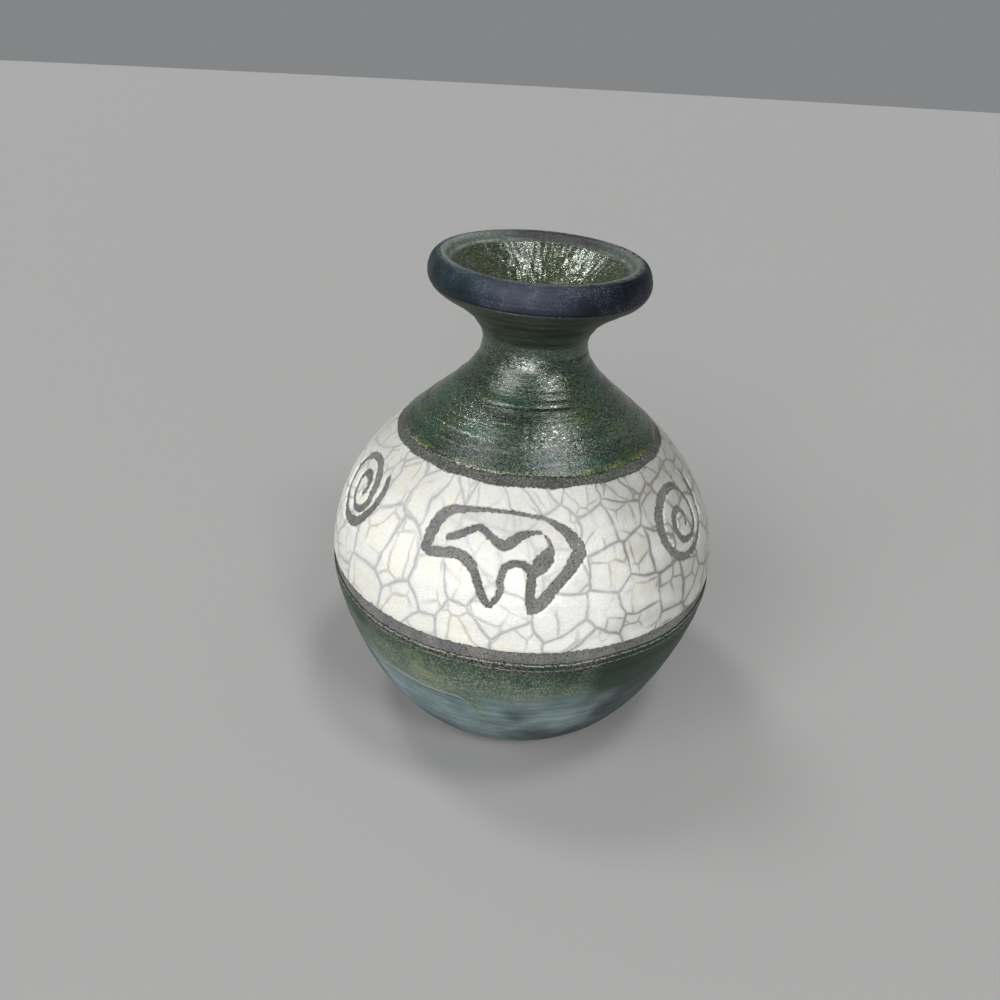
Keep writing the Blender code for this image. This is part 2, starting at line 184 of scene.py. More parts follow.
def throwing_marks(length, turn):
    """Lift left by the potter's fingers: two slow sine rings, less fine grooves in the shape of a bell
    curve, which bow a little, fade in and out round the vase and are twice as deep over the shoulder.
    """
    drift = 0.6 * MM * np.sin(turn + 0.7) + 0.3 * MM * np.sin(3 * turn)
    rings = 0.05 * MM * np.sin(FULL_TURN * (length + drift) / BROAD_RING)
    rings += 0.03 * MM * np.sin(FULL_TURN * (length + 1.4 * drift) / FINE_RING + 1)
    draw = np.random.default_rng(5)
    grooves = 0
    for place in np.arange(FIRST_GROOVE, CREST_LENGTH, GROOVE_PITCH):
        bow, beat = draw.uniform(0, FULL_TURN, 2)
        middle = place + draw.uniform(-0.9, 0.9) * MM
        middle = middle + GROOVE_BOW * np.sin(turn * draw.integers(1, 3) + bow)
        depth = draw.uniform(0.01, 0.09) * MM * (1 + (place > SHOULDER_LENGTH))
        depth = depth * np.clip(0.5 + np.sin(turn * draw.integers(1, 5) + beat), 0, 1)
        grooves = grooves - depth * np.exp(-(((length - middle) / GROOVE_WIDTH) ** 2))
    return rings + grooves


def grid_faces(rows, columns, closed):
    """Quads between neighbouring rows of a grid whose columns run round the vase and meet again."""
    row = np.arange(rows if closed else rows - 1)[:, None]
    column = np.arange(columns)[None, :]
    below, above, beside = row * columns, (row + 1) % rows * columns, (column + 1) % columns
    corners = below + column, below + beside, above + beside, above + column
    return np.stack(np.broadcast_arrays(*corners), axis=-1).reshape(-1, 4)


def make_piece(name, points, faces, material, nodes, attributes):
    mesh = bpy.data.meshes.new(name)
    mesh.from_pydata(points, [], faces)
    for label, values in attributes.items():
        layer = mesh.attributes.new(label, "FLOAT", "POINT")
        layer.data.foreach_set("value", np.asarray(values, np.float32))
    mesh.shade_smooth()
    mesh.materials.append(material)
    made = bpy.data.objects.new(name, mesh)
    bpy.context.scene.collection.objects.link(made)
    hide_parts(*nodes)
    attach(made, "root")
    return made


def close_pole(points, faces, columns, rows_at_axis):
    """Used vertices and faces, once each row on the axis is its first vertex and its quads triangles."""
    index = np.arange(len(points))
    for row in rows_at_axis:
        index[row * columns : (row + 1) * columns] = row * columns
    joined = [list(dict.fromkeys(face)) for face in index[faces].tolist()]
    kept = [face for face in joined if len(face) > 2]
    used, compact = np.unique(np.concatenate([np.array(face) for face in kept]), return_inverse=True)
    ends = np.cumsum([len(face) for face in kept])[:-1]
    return used, [face.tolist() for face in np.split(compact, ends)]


def direction(turn, climb):
    """Unit vector at a turn from the front towards the right and a climb above the level."""
    return np.array([np.cos(climb) * np.sin(turn), -np.cos(climb) * np.cos(turn), np.sin(climb)])


class Number:
    """Number in a material's nodes. Python's operators on it add Math nodes."""

    def __init__(self, finish, socket):
        self.finish = finish
        self.socket = socket

    def maths(self, operation, *inputs):
        """Result of one Math node on the given inputs."""
        return self.finish.add("ShaderNodeMath", {"operation": operation}, dict(enumerate(inputs)))

    def __add__(self, other):
        return self.maths("ADD", self, other)

    def __sub__(self, other):
        return self.maths("SUBTRACT", self, other)

    def __rsub__(self, other):
        return self.maths("SUBTRACT", other, self)

    def __mul__(self, other):
        return self.maths("MULTIPLY", self, other)

    def __truediv__(self, other):
        return self.maths("DIVIDE", self, other)

    __radd__ = __add__
    __rmul__ = __mul__

    def least(self, other):
        """The smaller of the two numbers."""
        return self.maths("MINIMUM", self, other)

    def most(self, other):
        """The larger of the two numbers."""
        return self.maths("MAXIMUM", self, other)

    def rise(self, low, high):
        """0 below low, 1 above high, smooth between, and the other way round where low is larger."""
        flip = low > high
        inputs = {"Value": self, "From Min": min(low, high), "From Max": max(low, high)}
        inputs |= {"To Min": float(flip), "To Max": float(not flip)}
        return self.finish.add("ShaderNodeMapRange", {"interpolation_type": "SMOOTHSTEP"}, inputs)

    def hump(self, middle, width):
        """1 at the middle, falling smoothly to 0 at that width on both sides of it."""
        return self.maths("ABSOLUTE", self - middle).rise(width, 0)


class Finish:
    """Material whose nodes are built from code."""

    def __init__(self, name, **constants):
        self.material = bpy.data.materials.new(name)
        self.material.use_nodes = True
        self.tree = self.material.node_tree
        self.shader = self.tree.nodes["Principled BSDF"]
        self.give(self.shader, {label.replace("_", " "): value for label, value in constants.items()})
        self.place = self.add("ShaderNodeTexCoord", {}, {}, "Object")
        self.height = self.add("ShaderNodeSeparateXYZ", {}, {0: self.place}, "Z")

    def give(self, node, inputs):
        """Links a node's inputs to Numbers, or sets them to plain values."""
        for label, value in inputs.items():
            if isinstance(value, Number):
                self.tree.links.new(value.socket, node.inputs[label])
            else:
                node.inputs[label].default_value = value

    def add(self, kind, settings, inputs, output=0):
        """One node: its settings first, then the values or links of its sockets."""
        node = self.tree.nodes.new(kind)
        for label, value in settings.items():
            setattr(node, label, value)
        self.give(node, inputs)
        return Number(self, node.outputs[output])

    def attribute(self, label):
        """Value that the piece's vertices carry under that label."""
        return self.add("ShaderNodeAttribute", {"attribute_name": label}, {}, "Fac")

    def noise(self, size, detail=2.0, place=None, output=0):
        """Smooth noise whose lumps have about that size."""
        inputs = {"Vector": place or self.place, "Scale": 1 / size, "Detail": detail}
        return self.add("ShaderNodeTexNoise", {}, inputs, output)

    def streaks(self, size):
        """Noise drawn out round the vase, as fingers and brush leave it on a turning wheel."""
        drawn_out = self.add("ShaderNodeMapping", {}, {"Vector": self.place, "Scale": (0.08, 0.08, 1)})
        return self.noise(size, 3, drawn_out)

    def vector(self, operation, *inputs):
        """Result of one Vector Math node on the given inputs."""
        return self.add("ShaderNodeVectorMath", {"operation": operation}, dict(enumerate(inputs)))

    def shade(self, colour, level):
        """Colour or vector times a number."""
        return self.add("ShaderNodeVectorMath", {"operation": "SCALE"}, {0: colour, "Scale": level})

    def moved(self, place, size, reach):
        """Place pushed about by noise of that size, by up to about half that reach."""
        push = self.vector("SUBTRACT", self.noise(size, 2, output="Color"), (0.5, 0.5, 0.5))
        return self.vector("ADD", place, self.shade(push, reach))

    def mix(self, share, first, second):
        """Colour between two others, each given as a socket or as red, green and blue."""
        ends = [(*end, 1) if isinstance(end, tuple) else end for end in (first, second)]
        return self.add("ShaderNodeMix", {"data_type": "RGBA"}, {0: share, 6: ends[0], 7: ends[1]}, 2)

    def bump(self, height, depth):
        """Normal tilted as if the surface rose by the height times the depth."""
        return self.add("ShaderNodeBump", {}, {"Height": height, "Distance": depth, "Strength": 1.0})

    def turn(self, place=None):
        """Turn of a place from the front towards the right, in radians."""
        x, y = (self.add("ShaderNodeSeparateXYZ", {}, {0: place or self.place}, axis) for axis in "XY")
        return x.maths("ARCTAN2", x, y * -1)

    def side(self, degrees):
        """1 on the side of the vase at that turn from the front, 0 a quarter turn away, -1 opposite."""
        flat = self.vector("NORMALIZE", self.vector("MULTIPLY", self.place, (1, 1, 0)))
        inputs = {0: flat, 1: tuple(direction(np.radians(degrees), 0))}
        return self.add("ShaderNodeVectorMath", {"operation": "DOT_PRODUCT"}, inputs, "Value")

    def done(self, **outcome):
        """The material, once its shader has what changes over the surface."""
        self.give(self.shader, {label.replace("_", " "): value for label, value in outcome.items()})
        return self.material


def smoked_clay():
    """Matt grey clay with grains, pits and pale specks. The fumes darkened the upper line, which has
    olive and pale grains in it.
    """
    finish = Finish("smoked_clay", Roughness=0.9)
    grain = finish.noise(0.42 * MM, 3)
    cloud = finish.noise(6 * MM, 3)
    pits = finish.noise(0.6 * MM, 2).rise(0.60, 0.68)
    pale = finish.noise(0.5 * MM, 2, finish.shade(finish.place, -1.0)).rise(0.62, 0.70)
    colour = finish.mix(cloud.rise(0.35, 0.65), *CLAY_GREYS)
    colour = finish.shade(colour, 0.25 + 1.5 * grain)
    colour = finish.shade(colour, 1 - 0.6 * pits + 0.7 * pale)

    olive_grains = finish.noise(0.7 * MM, 2, finish.shade(finish.place, -1.1)).rise(0.52, 0.60)
    pale_grains = finish.noise(0.55 * MM, 2, finish.shade(finish.place, -1.2)).rise(0.42, 0.58)
    fumed = finish.vector("MULTIPLY", colour, CLAY_FUMES)
    fumed = finish.mix(olive_grains * 0.25, fumed, CLAY_OLIVE)
    fumed = finish.shade(fumed, 0.55 + 0.9 * pale_grains)
    colour = finish.mix((finish.height / MM).rise(83, 85), colour, fumed)
    return finish.done(Base_Color=colour, Normal=finish.bump(grain - 0.6 * pits, 0.25 * MM))


CLAY_COLUMNS = 240
OUTSIDE_STEP = 0.8 * MM
INSIDE_STEP = 1.6 * MM
RECESS_START = 2 * MM
RECESS_ROWS = 16
FOOT_RING_ROUNDING = 0.25 * MM


def clay_points(columns):
    """Grid over the clay: from the axis over the recess and the foot's ring, up the outside, over the
    rim and down the inside to the axis. Each row is one point of that line, spun about the axis.
    """
    turn = np.linspace(0, FULL_TURN, columns, endpoint=False)[None, :]
    outside = np.arange(FOOT_BEVEL, CREST_LENGTH, OUTSIDE_STEP)
    inside = np.append(np.arange(CREST_LENGTH, WALL_END - MM, INSIDE_STEP), WALL_END)
    length = np.concatenate([outside, inside])[:, None]
    lift = -CLAY_SUNK + throwing_marks(length, turn) * (length < CREST_LENGTH)
    wall = on_wall(length, turn, lift)
    edge = along_wall(WALL_LINE[:, 0], FOOT_BEVEL) - CLAY_SUNK
    ring_inside = edge - FOOT_RING_WIDTH
    recess = np.linspace(RECESS_START, ring_inside - FOOT_RECESS, RECESS_ROWS)
    radius = [0, *recess, ring_inside, ring_inside + FOOT_RING_ROUNDING, edge - FOOT_BEVEL]
    height = [FOOT_RECESS] * (RECESS_ROWS + 1) + [FOOT_RING_ROUNDING / 2, 0, 0]
    base = spun(np.array(radius)[:, None], np.array(height)[:, None], turn)
    return np.concatenate([base, wall])


clay = clay_points(CLAY_COLUMNS)
clay_faces = grid_faces(len(clay), CLAY_COLUMNS, False)
used, clay_faces = close_pole(clay.reshape(-1, 3), clay_faces, CLAY_COLUMNS, [0, len(clay) - 1])
points = clay.reshape(-1, 3)[used]
make_piece("clay_body_smoked", points, clay_faces, smoked_clay(), ["clay_body"], {})


# Lower glaze. A copper lustre brushed on from just over the foot to the lower bare line. It came out
# of the smoke satin: brown grains along the line, green below them, blue-grey towards the foot,
# sooted in drifts on both sides, with a run on the left of the front. Painted shade darkens both sides
# and the foot, and painted highlights run along the glaze's edges and the run's edge.
GLAZE_SUNK = 0.00065
RAGGED_LIP = 0.0004
WHITE_LOW = length_at(BELLY_HEIGHT + 0.0041)
LOWER_LINE = 0.0034
BARE_FOOT = 0.0012
RUN_HEIGHT = 0.030
BLUE_GREY = (0.088, 0.140, 0.148), (0.215, 0.278, 0.282)
DARK_STREAKS = (0.060, 0.085, 0.085)
OLIVE = (0.045, 0.078, 0.058), (0.200, 0.238, 0.162)
PALE_OLIVE = (0.190, 0.210, 0.130)
DARK_GREEN = (0.026, 0.056, 0.040), (0.155, 0.192, 0.120)
BROWN = (0.010, 0.012, 0.010), (0.118, 0.115, 0.098)
# Soot colours, which also stand for painted shade on both sides
SOOT_AND_SHADE = (0.014, 0.023, 0.024), (0.011, 0.024, 0.017)
# Painted highlights along the glaze's top edge and the run's edge, the run's painted shadow, and a
# painted highlight on the rounded edge at the foot
LIP_HIGHLIGHT = (0.40, 0.40, 0.37)
RUN_HIGHLIGHT = (0.38, 0.40, 0.35)
RUN_SHADOW = (0.030, 0.040, 0.038)
FOOT_EDGE_HIGHLIGHT = (0.24, 0.26, 0.24)
LIP_STEPS = np.array([0, 0.06, 0.2, 0.45, 0.75])
BURIED = GLAZE_SUNK + 0.1 * MM
BURIED_ROWS = 10


def lip(share):
    """Lift of a coat near its edge: a quarter circle, from under the clay's surface to the full coat."""
    return GLAZE_SUNK * (np.sqrt(1 - (1 - np.clip(share, 0, 1)) ** 2) - 1)


def coat_shell(ends, lips, wander, step, columns):
    """Closed shell of a turned coat: front rows with a rounded lip at both ends, then buried rows."""
    turn = np.linspace(0, FULL_TURN, columns, endpoint=False)[None, :]
    (low, high), (low_lip, high_lip) = ends, lips
    inner = np.linspace(low + low_lip, high - high_lip, int((high - low) / step))
    lip_rows = low + low_lip * LIP_STEPS, high - high_lip * LIP_STEPS[::-1]
    length = np.concatenate([lip_rows[0], inner, lip_rows[1]])[:, None]
    share = (length - low) / (high - low)
    length = length + (1 - share) * wander[0](turn) + share * wander[1](turn)
    from_low, from_high = length - length[0], length[-1] - length
    edge = np.minimum(from_low / low_lip, from_high / high_lip)
    front = on_wall(length, turn, lip(edge) + throwing_marks(length, turn))
    back_length = high + np.linspace(0, 1, BURIED_ROWS + 2)[1:-1, None] * (low - high)
    back = on_wall(back_length, turn, -BURIED)
    points = np.concatenate([front, back])
    behind = np.zeros(len(back) * columns)
    attributes = {
        "from_low": np.concatenate([from_low.ravel() / MM, behind]),
        "from_high": np.concatenate([from_high.ravel() / MM, behind]),
    }
    return points.reshape(-1, 3), grid_faces(len(points), columns, True), attributes


def ragged(broad, fine, seed):
    """Function of the turn: how far an edge moves up the wall, as a slow swell and a fine crumbling."""
    def wander(turn):
        return broad * waves(0, turn, 30 * MM, 6, seed) + fine * waves(0, turn, 1.6 * MM, 14, seed + 1)

    return wander


def teal_lustre():
    """Bands of colour by height, broken up by noise, soot with painted shade on the sides, and a run on
    the left painted as a highlight over a shadow.
    """
    finish = Finish("teal_lustre", Metallic=0.14, Specular_IOR_Level=0.18)
    height, turn = finish.height / MM, finish.turn()
    from_low, from_high = finish.attribute("from_low"), finish.attribute("from_high")
    streaks, fine_streaks = finish.streaks(2.2 * MM), finish.streaks(0.8 * MM)
    cloud, patches = finish.noise(12 * MM, 3), finish.noise(3.5 * MM, 2)
    grain, grains = finish.noise(0.40 * MM, 2), finish.noise(0.50 * MM, 3)
    crumbs = finish.noise(0.55 * MM, 2)
    level = height + 9 * (cloud - 0.5) + 8 * (streaks - 0.5) + 6 * (grains - 0.5)
    level = level + 8 * (patches - 0.5)
    run = height - RUN_HEIGHT / MM + 14 * turn.rise(-0.16, 0.02) + 5 * turn.rise(-0.55, -0.85)
    run = run + 1.6 * (finish.noise(6 * MM, 1) - 0.5)
    on_front = turn.hump(-0.35, 0.50)

    # Blue-grey in soft streaks
    soft = cloud.rise(0.35, 0.65) * 0.4 + streaks.rise(0.35, 0.65) * 0.35
    soft = soft + fine_streaks.rise(0.35, 0.65) * 0.25
    colour = finish.mix(soft, *BLUE_GREY)
    dark_lines = fine_streaks.rise(0.58, 0.68) * cloud.rise(0.35, 0.60)
    colour = finish.mix(dark_lines * 0.5, colour, DARK_STREAKS)

    # Olive above it and above the run, then dark green, then brown
    olive = finish.mix(grains.rise(0.42, 0.62), *OLIVE)
    patch = turn.hump(-0.38, 0.35) * cloud.rise(0.45, 0.60)
    olive = finish.mix(patch * 0.6, olive, PALE_OLIVE)
    above_run = (run + 2.5 * (grains - 0.5)).rise(-0.2, 1.4) * on_front.rise(0.05, 0.60)
    colour = finish.mix(level.rise(28.5, 37.0).most(above_run * 0.85), colour, olive)
    right_side = finish.side(80).rise(0, 1)
    dark_green = finish.mix(grains.rise(0.46, 0.66), *DARK_GREEN)
    colour = finish.mix((level + 3 * right_side).rise(39.0, 43.0), colour, dark_green)
    brown = finish.mix(grains.rise(0.44, 0.56), *BROWN)
    colour = finish.mix((level + 2 * right_side).rise(44.0, 47.0), colour, brown)
    colour = finish.shade(colour, 0.80 + 0.4 * streaks)
    # Mottled by the cloud, and darkened towards the foot as painted shade
    colour = finish.shade(colour, 0.75 + 0.66 * cloud - 0.50 * height.rise(16, 3))

    # Soot in drifts on both sides, darkened further by painted shade on both sides
    drift = 1.4 * (finish.noise(16 * MM, 2) - 0.5)
    smoke_and_painted_shade = (finish.side(80) + drift).rise(0.20, 0.85).most((finish.side(-95) + drift).rise(0.40, 0.90))
    soot_and_shade = finish.mix(level.rise(24, 38), *SOOT_AND_SHADE)
    soot_and_shade = finish.shade(soot_and_shade, 0.5 + cloud + 0.8 * grain.rise(0.5, 0.7))
    colour = finish.mix(smoke_and_painted_shade * 0.92, colour, soot_and_shade)

    # Painted highlights in crumbs along the glaze's edge at the bare line and on the run's edge, the
    # run's painted shadow, and a painted highlight on the glaze's rounded edge at the foot
    lip_highlights = from_high.hump(0.45, 0.35).most(from_high.hump(2.2, 0.3) * 0.7) * crumbs.rise(0.40, 0.54)
    colour = finish.mix(lip_highlights * 0.85, colour, LIP_HIGHLIGHT)
    colour = finish.mix(run.hump(0, 0.45) * on_front * crumbs.rise(0.3, 0.5), colour, RUN_HIGHLIGHT)
    colour = finish.mix(run.hump(-0.9, 0.8) * on_front * 0.7, colour, RUN_SHADOW)
    colour = finish.mix(from_low.hump(0.9, 0.9) * 0.6, colour, FOOT_EDGE_HIGHLIGHT)
    bump = finish.bump(grain + 0.5 * fine_streaks - 0.8 * run.hump(-0.4, 0.5) * on_front, 0.16 * MM)
    return finish.done(Base_Color=colour, Roughness=0.30 + 0.2 * grain, Normal=bump)


LOWER_STEP = 0.4 * MM
LOWER_COLUMNS = 400
ends, lips = (BARE_FOOT, WHITE_LOW - LOWER_LINE), (RAGGED_LIP, RAGGED_LIP)
wander = ragged(0.25 * MM, 0.08 * MM, 31), ragged(0.2 * MM, 0.09 * MM, 33)
points, faces, edges = coat_shell(ends, lips, wander, LOWER_STEP, LOWER_COLUMNS)
make_piece("lower_glaze_lustre", points, faces, teal_lustre(), ["lower_glaze"], edges)


# Crackle glaze. A white coat round the belly that crazed as it cooled, so smoke drew a grey net in
# it. The bears and spirals were brushed on in wax before glazing, and their lines stayed bare clay:
# each bear's outline cuts an island of glaze off, which is a piece of its own.
WHITE_HIGH = WHITE_LOW + 0.0429
WHITE_UP = (WHITE_LOW + WHITE_HIGH) / 2
BEAR_UP = 2.9 * MM
SPIRAL_UP = 3.7 * MM
BEARS = {"front": 0.0, "right": 125.0, "left": -121.0}
SPIRALS = {"right": 67.5, "back": 182.0, "left": -59.5}

# Middles of the brush strokes as right, up and stroke width, in millimetres
BEAR_OUTLINE = (
    (-20.5, -1.8, 0.5), (-19.4, -0.2, 2.3), (-19.3, 2.0, 2.9), (-18.6, 5.9, 3.0), (-17.0, 8.4, 2.7),
    (-14.4, 9.9, 1.9), (-8.5, 11.1, 1.0), (-2.4, 11.7, 0.65), (3.3, 11.6, 0.6), (9.0, 11.0, 0.6),
    (12.6, 10.1, 0.8), (15.3, 8.5, 1.7), (18.0, 6.5, 2.5), (20.0, 3.5, 3.1), (21.3, 2.2, 0.6),
    (20.1, 1.2, 3.2), (17.6, -2.2, 2.6), (13.9, -6.3, 2.4), (10.4, -10.9, 2.6), (8.3, -12.6, 1.1),
    (8.0, -8.6, 1.9), (8.2, -4.4, 1.9), (7.4, -1.9, 1.6), (4.6, -0.9, 1.5), (1.9, -2.0, 1.5),
    (0.9, -5.0, 1.3), (1.0, -8.6, 1.2), (-1.0, -12.1, 1.0), (-2.8, -10.2, 1.6), (-4.2, -7.4, 1.6),
    (-5.4, -4.6, 1.8), (-7.5, -2.0, 2.4), (-11.3, -0.8, 2.3), (-15.5, -1.7, 2.1), (-18.3, -2.1, 2.0),
)
HEART_LINE = (
    (-14.0, 2.7, 1.4), (-11.9, 3.7, 1.6), (-9.3, 5.3, 1.6), (-6.7, 6.8, 1.4), (-4.8, 6.2, 1.4),
    (-2.4, 4.7, 1.5), (0.1, 3.4, 2.1), (2.0, 3.6, 2.4), (4.4, 5.6, 2.0), (7.0, 6.7, 1.1),
    (10.2, 7.0, 0.35), (12.0, 5.6, 0.3), (12.9, 3.3, 0.9), (12.0, 1.2, 3.1), (10.3, -1.0, 3.7),
    (8.4, -3.0, 2.2),
)
WIDE_SPIRAL = (
    (12.6, 8.5, 1.6), (12.2, 5.0, 3.2), (11.2, 1.2, 2.2), (8.9, -3.8, 1.6), (5.0, -7.0, 1.6),
    (-0.2, -9.3, 1.7), (-6.4, -9.1, 1.8), (-11.0, -5.6, 2.0), (-12.6, -0.4, 2.8), (-11.4, 4.4, 3.1),
    (-6.5, 8.4, 2.5), (0.7, 9.1, 1.8), (4.5, 6.0, 1.6), (5.3, 0.8, 1.5), (3.7, -3.7, 1.5),
    (-0.2, -5.8, 1.4), (-4.6, -5.0, 1.6), (-6.5, -1.4, 2.0), (-5.2, 2.1, 2.0), (-1.7, 2.9, 1.7),
    (0.0, 0.4, 1.4), (-0.8, -1.8, 1.1),
)
TIGHT_SPIRAL = (
    (9.7, 7.8, 1.8), (11.0, 5.0, 2.2), (11.0, 1.0, 2.2), (9.2, -3.6, 2.2), (5.8, -7.8, 2.4),
    (1.3, -9.2, 2.6), (-3.8, -8.0, 2.6), (-8.6, -4.4, 2.8), (-11.0, 0.2, 3.0), (-10.2, 5.2, 2.6),
    (-6.1, 8.5, 2.0), (-0.2, 9.1, 2.2), (4.3, 6.6, 3.0), (6.6, 2.6, 3.0), (6.8, -1.8, 2.4),
    (4.6, -4.4, 1.8), (1.0, -5.0, 1.8), (-2.4, -2.6, 1.9), (-4.0, 1.3, 1.9), (-2.7, 4.0, 2.0),
    (1.0, 4.1, 2.2), (2.9, 1.8, 1.8), (2.2, -0.3, 1.5),
)
SPIRAL_SHAPES = {"right": WIDE_SPIRAL, "back": TIGHT_SPIRAL, "left": TIGHT_SPIRAL}
SHEET_COLUMNS = 1152
SHEET_ROWS = 148
BLOCK = 4
SHEET_MARGIN = 0.0009
FINE_REACH = 1.5 * MM
THINNEST = 0.02 * MM
EDGE_REACH = 4 * MM
LEAST_SLOPE = 0.5
STROKE_STEPS = 4
MOTIF_REACH = 26 * MM
FAR_AWAY = 1.0


def smoothed(points, closed):
    """Brush line through the given points, in metres: a Catmull-Rom curve, a few steps a stretch."""
    line = MM * np.array(points)
    if closed:
        before, after, beyond = (np.roll(line, shift, axis=0) for shift in (1, -1, -2))
        start = line
    else:
        padded = np.concatenate([line[:1], line, line[-1:]])
        before, start, after, beyond = padded[:-3], padded[1:-2], padded[2:-1], padded[3:]
    share = np.linspace(0, 1, STROKE_STEPS, endpoint=False)[None, :, None]
    before, start, after, beyond = (part[:, None, :] for part in (before, start, after, beyond))
    square = 2 * before - 5 * start + 4 * after - beyond
    cube = 3 * (start - after) + beyond - before
    curve = start + 0.5 * share * (after - before + share * (square + share * cube))
    curve = curve.reshape(-1, 3)
    return np.concatenate([curve, line[:1] if closed else line[-1:]])


def stroke_distance(right, up, line):
    """Distance to the nearest stretch of a brush line, less the stroke's half width there."""
    nearest = np.full(right.shape, FAR_AWAY)
    for (x0, y0, w0), (x1, y1, w1) in zip(line, line[1:]):
        span = max((x1 - x0) ** 2 + (y1 - y0) ** 2, 1e-12)
        share = np.clip(((right - x0) * (x1 - x0) + (up - y0) * (y1 - y0)) / span, 0, 1)
        away = np.hypot(right - x0 - share * (x1 - x0), up - y0 - share * (y1 - y0))
        nearest = np.minimum(nearest, away - (w0 + share * (w1 - w0)) / 2)
    return nearest


def within(right, up, line):
    """Whether points lie inside a closed line: a ray from each crosses it an odd number of times."""
    inside = np.zeros(right.shape, bool)
    for (x0, y0, _), (x1, y1, _) in zip(line, line[1:]):
        if y0 != y1:
            crossing = x0 + (up - y0) * (x1 - x0) / (y1 - y0)
            inside ^= ((up < y0) != (up < y1)) & (right < crossing)
    return inside


def motif_plane(length, turn, degrees, lift):
    """Right and up from a motif's middle, as unrolled at the radius of that middle."""
    middle = WHITE_UP + lift
    swing = (turn - np.radians(degrees) + np.pi) % FULL_TURN - np.pi
    return swing * along_wall(WALL_LINE[:, 0], middle), length - middle


def white_fields(length, turn):
    """Distance from the nearest bare line, and each point's island: 0 outside, or a bear's number."""
    rough = 0.09 * MM * waves(length, turn, 1.3 * MM, 40, 3)
    rough += 0.05 * MM * waves(length, turn, 0.8 * MM, 40, 4)
    low_wander = 0.12 * MM * waves(0, turn, 25 * MM, 6, 8)
    high_wander = 0.14 * MM * waves(0, turn, 14 * MM, 8, 9)
    clear = np.minimum(length - WHITE_LOW - low_wander, WHITE_HIGH + high_wander - length)
    island = np.zeros(length.shape, int)
    bear = smoothed(BEAR_OUTLINE, True), smoothed(HEART_LINE, False)
    brushed = [(degrees, BEAR_UP, bear) for degrees in BEARS.values()]
    for place, degrees in SPIRALS.items():
        brushed.append((degrees, SPIRAL_UP, [smoothed(SPIRAL_SHAPES[place], False)]))
    for number, (degrees, lift, lines) in enumerate(brushed, 1):
        right, up = motif_plane(length, turn, degrees, lift)
        near = np.abs(right) < MOTIF_REACH
        for line in lines:
            clear[near] = np.minimum(clear[near], stroke_distance(right[near], up[near], line))
        if number <= len(BEARS):
            island[near] = np.where(within(right[near], up[near], lines[0]), number, island[near])
    return clear + rough, island


def block_faces(kept, whole):
    """Faces of the kept cells: a block marked whole is one polygon that meets its fine neighbours."""
    rows, columns = kept.shape
    index = np.arange((rows + 1) * columns).reshape(rows + 1, columns)
    fine = kept & ~np.repeat(np.repeat(whole, BLOCK, axis=0), BLOCK, axis=1)
    row, column = np.nonzero(fine)
    beside = (column + 1) % columns
    corners = index[row, column], index[row, beside], index[row + 1, beside], index[row + 1, column]
    faces = np.stack(corners, axis=-1).tolist()
    wide = whole.shape[1]
    for row, column in zip(*np.nonzero(whole)):
        low, left = row * BLOCK, column * BLOCK
        steps = np.arange(BLOCK)
        sides = (
            (whole[row - 1, column], index[low, (left + steps) % columns]),
            (whole[row, (column + 1) % wide], index[low + steps, (left + BLOCK) % columns]),
            (whole[row + 1, column], index[low + BLOCK, (left + BLOCK - steps) % columns]),
            (whole[row, column - 1], index[low + BLOCK - steps, left]),
        )
        faces.append([spot for joined, side in sides for spot in (side[:1] if joined else side).tolist()])
    return faces


def firm_cells(kept):
    """Kept cells and their border corners, without the cells that would pinch the sheet to nothing.

    A cell pinches where its four corners, or both ends of a side that it shares, lie on the border.
    """
    while True:
        touching = np.zeros((kept.shape[0] + 1, kept.shape[1]), int)
        for part in (kept, np.roll(kept, 1, axis=1)):
            touching[:-1] += part
            touching[1:] += part
        border = (touching > 0) & (touching < 4)
        beside = np.roll(border, -1, axis=1)
        upright = beside[:-1] & beside[1:]
        level = border & beside
        pinching = kept & upright & (level[:-1] & level[1:] | np.roll(kept, -1, axis=1))
        pinching[1:] |= kept[1:] & kept[:-1] & level[1:-1]
        if not pinching.any():
            return kept, border
        kept = kept & ~pinching


